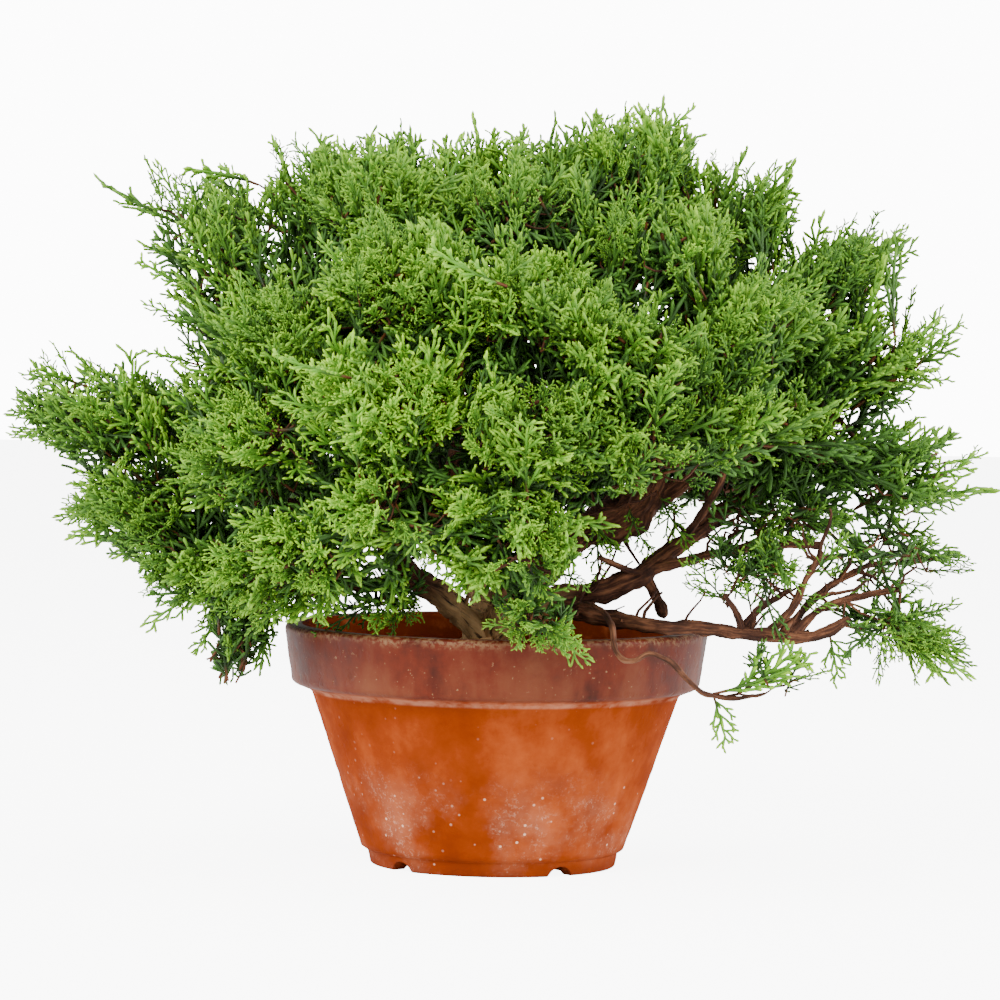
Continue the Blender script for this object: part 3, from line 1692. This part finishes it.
CLUMPS: tuple[Clump, ...] = (
    Clump("left_hanging", "left_low_limb", light=0.06, droop=0.45, habits=HANGING),
    Clump("left_low", "left_low_limb", light=0.08, droop=0.15),
    Clump("left_skirt", "far_left_limb", light=0.12),
    Clump("left_tip", "far_left_limb", light=0.08, full=0.75, habits=OPEN),
    Clump("left_inner", "far_left_limb"),
    Clump("left_upper", "upper_left_limb", full=0.7, habits=OPEN),
    Clump("left_crest", "upper_left_limb", full=0.36, habits=OPEN),
    Clump("left_crown", "upper_left_limb", full=0.8, habits=OPEN),
    Clump("crown_left", "left_limb"),
    Clump("crown", "trunk"),
    Clump("crown_tip", "trunk", light=0.05, habits=OPEN),
    Clump("right_crown", "upper_right_limb", habits=OPEN),
    Clump("right_crest", "upper_right_limb", light=0.05, full=0.8, habits=OPEN),
    Clump("right_upper", "upper_right_limb"),
    Clump("right_shoulder", "upper_right_limb", light=0.05, full=0.8, habits=OPEN),
    Clump("right_inner", "right_limb"),
    Clump("right_tip", "right_limb", light=0.16, full=0.5, habits=OPEN),
    Clump("right_side", "upturned_twig_e", light=0.14, full=0.45, habits=OPEN),
    Clump("right_low", "upturned_twig_d", light=0.12, full=0.6, droop=0.3, habits=HANGING),
    Clump("right_fork", "right_fork", light=-0.02, full=0.6, habits=HANGING),
    Clump("right_upturned", "upturned_twig_b", full=1.6, habits=HANGING),
    Clump("front_sprig", "hanging_twig", light=0.1, full=0.3, habits=OPEN),
    Clump("front_skirt_left", "left_low_limb", light=0.12, droop=0.2),
    Clump("front_pot_left", "left_low_limb", light=-0.1, full=1.4, habits=HANGING),
    Clump("front_low_left", "left_limb", light=0.12, droop=0.2),
    Clump("front_low", "front_limb", light=0.12, droop=0.15),
    Clump("front_pot", "front_limb", light=0.2, full=0.8, droop=0.15),
    Clump("front_left", "far_left_limb", light=0.12),
    Clump("front_bright", "left_limb", light=0.25),
    Clump("front_middle", "front_limb", light=0.06),
    Clump("front_right_low", "curving_shoot", light=0.04, droop=0.2),
    Clump("front_right", "curving_shoot", light=0.06, habits=OPEN),
    Clump("front_shoulder_right", "trunk", light=0.06),
    Clump("front_flank_right", "upper_right_limb", light=0.06, habits=OPEN),
    Clump("front_high", "trunk", light=0.04),
    Clump("front_high_left", "left_limb"),
    Clump("front_flank_left", "upper_left_limb"),
    Clump("front_crest_left", "left_limb"),
    Clump("front_crest", "trunk"),
    Clump("front_crest_right", "trunk"),
    Clump("back_low_left", "back_left_limb"),
    Clump("back_left", "back_left_limb"),
    Clump("back_low", "back_limb"),
    Clump("back_low_right", "back_right_limb"),
    Clump("back_right", "back_right_limb"),
    Clump("back_high_left", "upper_left_limb"),
    Clump("back_high", "back_limb"),
    Clump("back_high_right", "trunk"),
    Clump("back_flank_right", "upper_right_limb"),
    Clump("back_crest_left", "left_limb"),
    Clump("back_crest", "trunk"),
)


@dataclass(frozen=True)
class Whip:
    """A spray with a place of its own, in mm: a long shoot at the outline or leaves on a twig."""

    start: Point
    end: Point
    habit: Habit = Habit.WHIP
    light: float = 0.8


# The whips of each clump.
WHIPS: dict[str, tuple[Whip, ...]] = {
    "left_tip": (
        Whip((-204, -4, 234), (-232, -6, 243)),
        Whip((-196, 2, 234), (-213, 4, 254)),
    ),
    "left_inner": (
        Whip((-150, -6, 246), (-176, -8, 254)),
    ),
    "left_upper": (
        Whip((-150, -4, 283), (-180, -6, 293)),
        Whip((-148, 4, 292), (-173, 6, 303)),
    ),
    "left_crest": (
        Whip((-166, 0, 322), (-192, -2, 327)),
    ),
    "left_crown": (
        Whip((-122, 2, 336), (-156, 2, 347)),
        Whip((-74, 0, 340), (-88, -2, 353)),
    ),
    "crown_tip": (
        Whip((72, 4, 362), (95, 4, 375)),
    ),
    "right_crown": (
        Whip((118, 2, 334), (144, 0, 338)),
    ),
    "right_crest": (
        Whip((176, 4, 302), (199, 4, 307)),
    ),
    "right_shoulder": (
        Whip((198, 4, 246), (224, 6, 243)),
    ),
    "right_tip": (
        Whip((222, 6, 204), (243, 6, 206)),
    ),
    "front_bright": (
        Whip((-70, -146, 244), (-104, -156, 250)),
    ),
    "front_high": (
        Whip((2, -134, 288), (-34, -146, 300)),
    ),
    "crown": (
        Whip((0, 30, 224), (32, 30, 244), Habit.SHADED, 0.0),
        Whip((32, 32, 228), (2, 28, 246), Habit.SHADED, 0.0),
        Whip((16, 34, 252), (18, 30, 220), Habit.SHADED, 0.0),
        Whip((6, 40, 248), (30, 36, 226), Habit.SHADED, 0.0),
    ),
    "front_right_low": (
        Whip((52, -18, 178), (44, -30, 148), Habit.NEEDLED, 0.35),
        Whip((64, -20, 182), (70, -34, 156), Habit.NEEDLED, 0.35),
        Whip((34, -22, 172), (30, -36, 144), Habit.LOOSE, 0.35),
        Whip((78, -18, 188), (90, -30, 164), Habit.PLUME, 0.35),
        Whip((44, -20, 176), (58, -36, 158), Habit.PLUME, 0.35),
    ),
    "front_sprig": (
        Whip((104, -103, 95), (148, -98, 107), Habit.PLUME),
        Whip((116, -100, 95), (143, -96, 113), Habit.TUFT),
        Whip((104, -103, 95), (111, -102, 72), Habit.TUFT),
    ),
    "right_upturned": (
        Whip((112, -63, 134), (96, -68, 158), Habit.NEEDLED, 0.4),
        Whip((111, -66, 138), (90, -70, 144), Habit.LOOSE, 0.4),
        Whip((124, -58, 130), (118, -64, 160), Habit.NEEDLED, 0.4),
        Whip((132, -54, 135), (136, -60, 166), Habit.LOOSE, 0.4),
        Whip((140, -50, 140), (112, -58, 152), Habit.NEEDLED, 0.4),
        Whip((142, -49, 141), (164, -54, 132), Habit.LOOSE, 0.4),
        Whip((145, -57, 138), (128, -64, 168), Habit.LOOSE, 0.4),
        Whip((152, -52, 149), (172, -58, 168), Habit.PLUME, 0.4),
    ),
    "right_low": (
        Whip((162, -58, 122), (166, -60, 100), Habit.TUFT, 0.6),
        Whip((168, -56, 126), (196, -60, 118), Habit.PLUME, 0.6),
        Whip((170, -46, 137), (206, -44, 124), Habit.LOOSE, 0.6),
    ),
}


@dataclass
class Crown:
    """All the leaves. It grows sprays through each clump and asks the wood for their twigs.

    A spray is wanted where it can end near the outside of the crown. `shortest` and `longest`
    are the shares of its full length between which that works, and `buried_share` is how
    many of the deeper ones grow all the same. `even_steps` spreads the tries evenly. The
    leaves are brightest in the glow on the front, whose place and reach are in mm.
    """

    wood: Wood
    finish: bpy.types.Material
    middle: Point = (0, 0, 196)
    axes: Point = (235, 165, 165)
    room_per_try: float = 550.0
    twig_thick: float = 0.65 * MM
    leaders: float = 0.15
    hollow_scale: float = 34.0
    hollow_level: float = -0.11
    light_scale: float = 24.0
    shaded_per_clump: int = 58
    shaded_depth: float = 16 * MM
    thin_clump: float = 34 * MM
    branch_points: int = 9
    glow_place: Flat = (-62, 200)
    glow_reach: Flat = (62, 58)
    dark_depth: float = 22 * MM
    shortest: float = 0.40
    longest: float = 1.25
    buried_share: float = 0.25
    even_steps: Point = (0.8191725, 0.6710436, 0.5497005)
    seed: int = 11
    variants: int = 5
    kinds: dict[Habit, list[int]] = field(default_factory=dict)
    outside: BVHTree | None = None
    overhang: float = 8 * MM
    lowest: Vector = field(default_factory=Vector)
    highest: Vector = field(default_factory=Vector)

    def grow_shapes(self) -> bpy.types.Collection:
        """Grows a few sprays of every habit and notes where each habit's are.

        Returns:
            The collection that holds them.
        """
        made = bpy.data.collections.new("sprays")
        count = 0
        for habit in Habit:
            self.kinds[habit] = []
            for k in range(self.variants):
                mesh = Spray(habit, 100 * count + k).build()
                made.objects.link(bpy.data.objects.new(f"spray_{count:03d}", mesh))
                self.kinds[habit].append(count)
                count += 1
        return made

    def build(self, clumps: tuple[Clump, ...]) -> list[bpy.types.Object]:
        """Builds every clump's piece.

        Args:
            clumps: the clumps, in a fixed order.

        Returns:
            The finished pieces.
        """
        self.outside = self.joined([clump.node for clump in clumps])
        boxes = [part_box(clump.node) for clump in clumps]
        self.lowest = Vector([min(box[0][i] for box in boxes) - self.overhang for i in range(3)])
        self.highest = Vector([max(box[1][i] for box in boxes) + self.overhang for i in range(3)])
        shapes = self.grow_shapes()
        tree = ScatterTree("sprays on twigs", FoliageFinish.map_name).build()
        made = []
        total = 0
        for number, clump in enumerate(clumps):
            pick = random.Random(self.seed * 1000 + number)
            spots = self.spots_of(clump, pick)
            total += len(spots)
            mesh = scattered(clump.node + "_sprays", spots, shapes, self.finish, tree)
            piece = place_object("sprays_" + clump.node, mesh)
            made.append(hand_over(piece, clump.node))
        log.info("%d sprays", total)
        return made

    @staticmethod
    def joined(nodes: list[str]) -> BVHTree:
        """Makes one search tree over the solids of several CAD nodes.

        Args:
            nodes: the nodes' names.

        Returns:
            The search tree.
        """
        points, faces = [], []
        for node in nodes:
            first = len(points)
            solid = bpy.data.objects[node]
            points += [solid.matrix_world @ vert.co for vert in solid.data.vertices]
            faces += [[first + i for i in face.vertices] for face in solid.data.polygons]
        return BVHTree.FromPolygons(points, faces)

    @staticmethod
    def holds(solid: BVHTree, place: Vector) -> bool:
        """Tells whether a place is inside a solid.

        Args:
            solid: a search tree over the solid.
            place: the place.

        Returns:
            True inside it.
        """
        near, normal, _, _ = solid.find_nearest(place)
        return (place - near).dot(normal) <= 0

    def outward(self, place: Vector) -> Vector:
        """Finds the way out of the crown, as on a flattened ball.

        Args:
            place: where it is wanted.

        Returns:
            The direction.
        """
        offset = [(c / MM - m) / a**2 for c, m, a in zip(place, self.middle, self.axes)]
        return Vector(offset).normalized()

    def depth(self, place: Vector, way: Vector) -> float:
        """Measures how deep a place lies under the crown's outside.

        Args:
            place: the place.
            way: the direction in which it is measured.

        Returns:
            The depth in metres.
        """
        far = 0.5
        hit = self.outside.ray_cast(place + way * far, -way, far)
        return far - hit[3] if hit[0] is not None else 0.0

    def kept_in(self, place: Vector, aim: Vector, length: float) -> Vector:
        """Moves a spray's foot inwards where its side shoots or tip would stand out too far.

        Args:
            place: where its foot would be.
            aim: the direction in which it grows.
            length: its length in metres.

        Returns:
            Its foot's place, such that the spray stays near the crown's box.
        """
        moved = place.copy()
        for share, reach in ((0.3, 0.5), (1.0, 0.15)):
            for i in range(3):
                spot = moved[i] + aim[i] * length * share
                moved[i] += min(0.0, self.highest[i] - spot - reach * length)
                moved[i] += max(0.0, self.lowest[i] - spot + reach * length)
        return moved

    def spots_of(self, clump: Clump, pick: random.Random) -> list[Spot]:
        """Chooses where a clump's sprays sit and grows the twigs that carry them.

        Args:
            clump: the clump.
            pick: the source of chance.

        Returns:
            The sprays' places.
        """
        solid = self.joined([clump.node])
        low, high = corners(clump.node)
        centre, span = (low + high) / 2, high - low
        room = span.x * span.y * span.z / MM**3
        tries = round(clump.full * room / self.room_per_try)
        start = Vector([pick.random() for _ in range(3)])
        spots, roots = [], []
        for k in range(tries):
            even = [(s + k * g) % 1.0 for s, g in zip(start, self.even_steps)]
            place = low + Vector([e * s for e, s in zip(even, span)])
            if not self.holds(solid, place):
                continue
            if min(span) < self.thin_clump:
                place = place.lerp(centre, 0.55)
            spot = self.spray_at(clump, place, centre, pick)
            if spot is not None:
                spots.append(spot)
                roots.append(place)
        for whip in WHIPS.get(clump.name, ()):
            root, end = Vector(whip.start) * MM, Vector(whip.end) * MM
            size = (end - root).length / (GROWTHS[whip.habit].length * MM)
            aim = (end - root).normalized()
            kind = pick.choice(self.kinds[whip.habit])
            turn = self.facing(aim, Vector((0, -1, 0)), pick)
            spots.append(Spot(root, turn, size, kind, whip.light))
            roots.append(root)
        self.grow_twigs(clump, centre, roots)
        return spots + self.shaded(clump, solid, pick)

    def spray_at(
        self, clump: Clump, place: Vector, centre: Vector, pick: random.Random
    ) -> Spot | None:
        """Grows one spray from a place, just long enough for its tip to come out into the light.

        Args:
            clump: the clump that it belongs to.
            place: where its foot is.
            centre: the middle of the clump.
            pick: the source of chance.

        Returns:
            The spray, or None where one would stay buried or too short to matter.
        """
        out = self.outward(place)
        own = (place - centre).normalized()
        lean = strewn(pick, 0.36)
        rise = Vector((0, 0, 0.34 - clump.droop))
        aim = (out * 0.75 + own * 0.4 + rise + lean).normalized()
        deep = self.depth(place, aim)
        habit = pick.choice(clump.habits)
        beyond = pick.uniform(-0.005, 0.003 + 0.010 * clump.droop)
        if pick.random() < self.leaders:
            habit, beyond = Habit.LOOSE, pick.uniform(0.005, 0.015)
        full_length = GROWTHS[habit].length * MM
        wanted = (deep + beyond) / full_length
        buried = wanted > self.longest
        hollow = noise.noise(place * self.hollow_scale) < self.hollow_level
        if wanted < self.shortest or (not buried and hollow):
            return None
        if buried and pick.random() > self.buried_share:
            return None
        size = pick.uniform(0.95, 1.2) if buried else min(wanted, 1.15)
        place = self.kept_in(place, aim, full_length * size)
        hidden = max(0.0, deep - full_length * size)
        light = self.light_of(place + aim * full_length * size, hidden, clump, pick)
        kind = pick.choice(self.kinds[habit])
        return Spot(place, self.facing(aim, out, pick), size, kind, light)

    def shaded(self, clump: Clump, solid: BVHTree, pick: random.Random) -> list[Spot]:
        """The dark old leaves inside a clump, which keep daylight from showing through it.

        Args:
            clump: the clump.
            solid: a search tree over its solid.
            pick: the source of chance.

        Returns:
            The shoots that lie deep enough to stay in the dark.
        """
        low, high = corners(clump.node)
        centre, span = (low + high) / 2, high - low
        made = []
        inside = 0
        while inside < self.shaded_per_clump * min(1.0, clump.full**2):
            place = low + Vector([pick.random() * s for s in span])
            if not self.holds(solid, place):
                continue
            inside += 1
            place = place.lerp(centre, 0.25)
            inward = self.outward(place) * -0.5
            aim = (inward + strewn(pick, 0.6)).normalized()
            kind = pick.choice(self.kinds[Habit.SHADED])
            size = pick.uniform(0.8, 1.15) * min(1.0, min(span) / (44 * MM))
            tip = place + aim * GROWTHS[Habit.SHADED].length * MM * size
            if self.depth(tip, self.outward(tip)) >= self.shaded_depth:
                made.append(Spot(place, self.facing(aim, aim, pick), size, kind, 0.0))
        return made

    @staticmethod
    def facing(aim: Vector, way: Vector, pick: random.Random) -> Matrix:
        """Turns a spray so that its flat side is towards the light.

        Args:
            aim: the direction in which it grows.
            way: the way out of the crown.
            pick: the source of chance.

        Returns:
            How it is turned.
        """
        up = (Vector((0, 0, 1)) * 0.35 + way * 0.9).normalized()
        normal = up - aim * up.dot(aim)
        if normal.length < 0.05:
            normal = aim.orthogonal()
        normal = Quaternion(aim, pick.gauss(0, 0.55)) @ normal.normalized()
        side = normal.cross(aim)
        return Matrix((side, normal, aim)).transposed()

    def light_of(self, tip: Vector, hidden: float, clump: Clump, pick: random.Random) -> float:
        """How fresh a spray looks, from 0 in deep shade to 1 in full light.

        Args:
            tip: where the spray ends.
            hidden: how deep its tip stays under the crown's outside, in metres.
            clump: the clump that it belongs to.
            pick: the source of chance.

        Returns:
            The light.
        """
        x, y, z = tip / MM
        front = min(1.0, max(0.0, 0.5 - y / 260))
        (x0, z0), (wide, high) = self.glow_place, self.glow_reach
        glow = math.exp(-(((x - x0) / wide) ** 2 + ((z - z0) / high) ** 2) / 2)
        up = max(0.0, self.outward(tip).z)
        light = 0.22 + 0.12 * front + 0.40 * front * glow + 0.12 * up + clump.light
        light += 0.34 * noise.noise(tip * self.light_scale)
        light -= hidden / self.dark_depth
        return min(1.0, max(0.0, light + pick.gauss(0, 0.16)))

    def grow_twigs(self, clump: Clump, centre: Vector, roots: list[Vector]) -> None:
        """Adds the branch from the clump's limb and the twigs that fork to every spray.

        Args:
            clump: the clump.
            centre: its middle.
            roots: where its sprays grow from.
        """
        points = LIMBS[clump.limb][2:]
        start = min(points, key=lambda point: (Vector(point[:3]) * MM - centre).length)
        root = Vector(start[:3]) * MM
        way = centre - root
        sag = Vector((0, 0, -0.10 * way.length))
        low, high = corners(clump.node)
        slim = min(1.0, min(high - low) / (70 * MM))
        places, widths = [], []
        for k in range(self.branch_points):
            t = k / (self.branch_points - 1)
            places.append(root.lerp(centre, 0.96 * t) + sag * math.sin(math.pi * t))
            widths.append((2.2 - 1.4 * t) * MM * slim)
        self.wood.tube(places, widths, self.wood.thin_sides, False)
        joints = places[4:]
        for spot in sorted(roots, key=lambda spot: (spot - centre).length):
            near = min(
                joints, key=lambda joint: (joint - spot).length + 0.25 * (joint - centre).length
            )
            middle = near.lerp(spot, 0.5) - Vector((0, 0, 0.08 * (spot - near).length))
            line = [near, middle, spot]
            widths = [self.twig_thick * share for share in (1.25, 1.0, 0.9)]
            self.wood.tube(line, widths, 3, False)
            joints.append(spot)


# --------------------------------------------------------------------------------------
# The studio
# --------------------------------------------------------------------------------------


@dataclass
class Studio:
    """A plain pale floor, soft light and a camera at a shopper's eye level."""

    distance: float = 2.485
    camera_height: float = 0.293
    pitch: float = -2.57
    roll: float = 1.0
    lens: float = 180.0
    shift_x: float = 0.0012
    paper: str = "#F6F6F4"
    room_light: float = 0.78
    backdrop_light: float = 12.0
    floor_glow: float = 7.0

    def build(self) -> None:
        """Adds the floor, the lights and the camera."""
        self.floor()
        for name, place, aim_height, size, power in (
            ("key light", (-1.1, -2.1, 2.0), 0.2, 1.0, 105),
            ("fill light", (1.7, -2.0, 1.1), 0.2, 1.6, 40),
            ("top light", (0.2, 0.5, 2.4), 0.2, 1.6, 34),
            ("left edge light", (-2.2, 0.1, 0.7), 0.15, 1.2, 52),
            ("right edge light", (2.2, 0.1, 0.7), 0.15, 1.2, 52),
        ):
            self.light(name, place, (0.0, 0.0, aim_height), size, power)
        self.room()
        self.camera()

    def room(self) -> None:
        """Adds soft light from all round, behind which the backdrop itself looks brighter."""
        world = bpy.data.worlds.new("bright room")
        world.use_nodes = True
        tree = world.node_tree
        background = tree.nodes["Background"]
        background.inputs["Color"].default_value = (1, 1, 1, 1)
        seen = tree.nodes.new("ShaderNodeLightPath")
        strength = tree.nodes.new("ShaderNodeMapRange")
        strength.inputs["To Min"].default_value = self.room_light
        strength.inputs["To Max"].default_value = self.backdrop_light
        tree.links.new(seen.outputs["Is Camera Ray"], strength.inputs["Value"])
        tree.links.new(strength.outputs["Result"], background.inputs["Strength"])
        bpy.context.scene.world = world

    def floor(self) -> None:
        """Adds the pale floor that the pot stands on."""
        shape = Shape([(-6, -6, 0), (6, -6, 0), (6, 6, 0), (-6, 6, 0)], [(0, 1, 2, 3)])
        mesh = shape.to_mesh("floor")
        s = Shader("matte pale paper")
        seen = s.add("ShaderNodeLightPath").outputs["Is Camera Ray"]
        glow = s.product(seen, self.floor_glow)
        s.put(s.surface, {"Emission Color": (1, 1, 1, 1), "Emission Strength": glow})
        mesh.materials.append(s.finish(linear(self.paper), 0.9, 0.5))
        place_object("floor", mesh)

    @staticmethod
    def light(name: str, place: Point, aim: Point, size: float, power: float) -> None:
        """Adds one large soft light.

        Args:
            name: its name.
            place: where it is.
            aim: the point that it looks at.
            size: the side of its square, in metres.
            power: its power in watts.
        """
        data = bpy.data.lights.new(name, "AREA")
        data.size = size
        data.energy = power
        lamp = place_object(name, data)
        lamp.location = place
        lamp.rotation_euler = (Vector(aim) - Vector(place)).to_track_quat("-Z", "Y").to_euler()

    def camera(self) -> None:
        """Adds the camera and makes it the scene's."""
        data = bpy.data.cameras.new("camera")
        data.lens = self.lens
        data.sensor_width = 36
        data.shift_x = self.shift_x
        data.clip_end = 20
        camera = place_object("camera", data)
        camera.location = (0, -self.distance, self.camera_height)
        tilt = Matrix.Rotation(math.radians(90 + self.pitch), 4, "X")
        turn = Matrix.Rotation(math.radians(self.roll), 4, "Z")
        camera.rotation_euler = (tilt @ turn).to_euler()
        bpy.context.scene.camera = camera


def main() -> None:
    """Builds the pot, the soil, the leaves, the wood and the studio, in that order."""
    logging.basicConfig(level=logging.INFO, format="%(message)s")
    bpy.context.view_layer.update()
    Pot().build(TerracottaFinish().make())
    Soil().build(SoilFinish().make())
    # The vector noise that bends the stems starts from the clock unless it gets a seed.
    noise.seed_set(WOOD_SEED)
    wood = Wood()
    pick = random.Random(WOOD_SEED)
    for name, points in LIMBS.items():
        wood.limb(points)
        wood.bare_twigs(points, BARE_TWIGS.get(name, 0), pick)
    Crown(wood, FoliageFinish().make()).build(CLUMPS)
    wood.build(BarkFinish().make())
    Studio().build()


if __name__ == "__main__":
    main()
